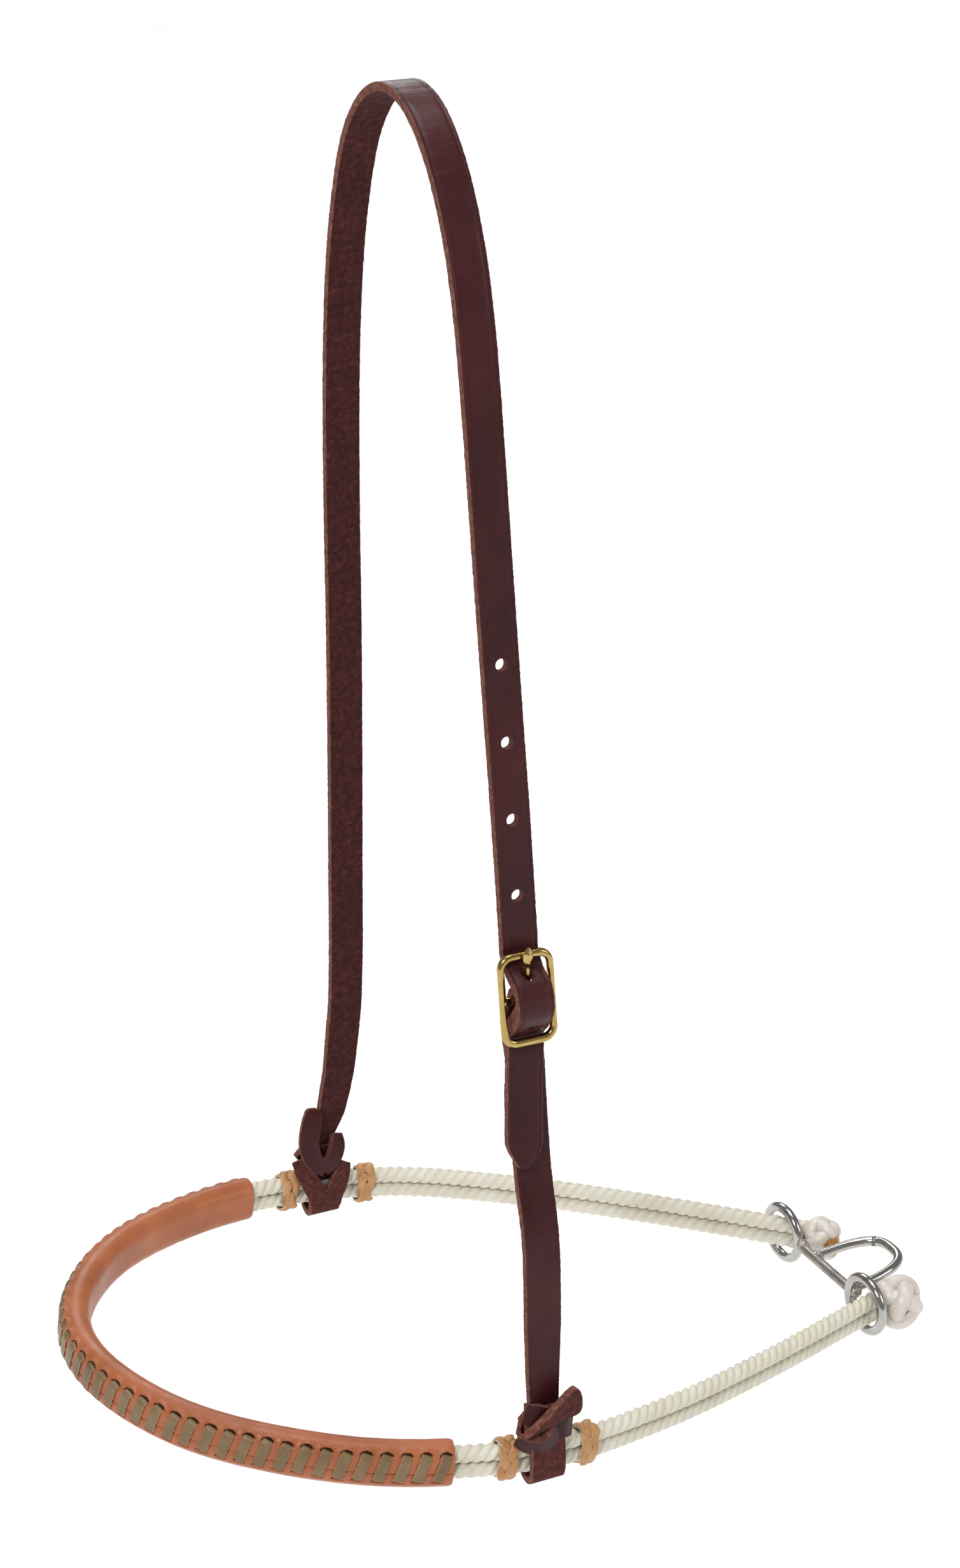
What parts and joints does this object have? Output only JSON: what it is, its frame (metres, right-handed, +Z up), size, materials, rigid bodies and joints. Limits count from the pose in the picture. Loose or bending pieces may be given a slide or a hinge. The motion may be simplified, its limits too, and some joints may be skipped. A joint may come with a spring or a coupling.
{
  "type": "tie-down noseband with headstall",
  "caption": "Leather-covered double-rope noseband on a buckled latigo headstall, with a welded ring-and-dee tie-down bar at the chin.",
  "frame": {"origin": "inner face of the crown strap at the top of its arch, where it rests on the poll", "axes": "+X from the nose towards the chin, -Y the buckle (near) side, +Z up"},
  "size_m": [0.3233, 0.201, 0.4709],
  "materials": {
    "latigo": "burgundy latigo leather, smooth waxy grain outside and rough flesh side",
    "russet_leather": "smooth tan russet leather, satin",
    "lace": "flat olive-brown kangaroo-style lace, satin",
    "rawhide": "waxed braided rawhide",
    "nylon_rope": "waxed three-strand laid nylon rope, translucent sheen",
    "thread": "waxed sewing thread",
    "brass": "polished solid brass",
    "nickel": "nickel plating, bright on the wire and dull at the welds"
  },
  "bodies": {
    "headstall": {"crown_strap": "latigo", "cheek_strap": "latigo", "cheek_fold_stitching": "thread"},
    "buckle": {"buckle_frame": "brass"},
    "tongue": {"buckle_tongue": "brass"},
    "blood_knots": {"near_blood_knot": "latigo", "far_blood_knot": "latigo"},
    "noseband": {"upper_nose_rope": "nylon_rope", "lower_nose_rope": "nylon_rope", "nose_cover": "russet_leather", "cover_lacing": "lace", "near_front_stopper": "rawhide", "near_rear_stopper": "rawhide", "far_front_stopper": "rawhide", "far_rear_stopper": "rawhide", "near_end_knot": "nylon_rope", "far_end_knot": "nylon_rope"},
    "tie_down": {"cross_bar": "nickel", "near_rope_ring": "nickel", "far_rope_ring": "nickel", "tie_down_dee": "nickel", "weld_beads": "nickel"}
  },
  "joints": [
    {"name": "noseband_swing", "type": "hinge", "parent": "headstall", "child": "blood_knots", "pos_m": [0, 0, -0.4133], "axis": [-0.1006, 0.9941, 0.0405], "range_deg": [-20, 20]},
    {"name": "noseband_slip", "type": "slide", "parent": "blood_knots", "child": "noseband", "axis": [0.9936, 0.0034, -0.1132], "range_m": [-0.001, 0.001]},
    {"name": "tie_down_swing", "type": "hinge", "parent": "noseband", "child": "tie_down", "pos_m": [0.15556, 0.00273, -0.45525], "axis": [-0.1414, 0.9898, 0.0174], "range_deg": [-8, 6]},
    {"name": "buckle_tilt", "type": "hinge", "parent": "headstall", "child": "buckle", "pos_m": [0.00828, -0.08178, -0.276], "axis": [0.9949, 0.1007, 0], "range_deg": [-3, 1]},
    {"name": "tongue_lift", "type": "hinge", "parent": "buckle", "child": "tongue", "pos_m": [0.00828, -0.08178, -0.276], "axis": [0.9949, 0.1007, 0], "range_deg": [0, 8]}
  ]
}
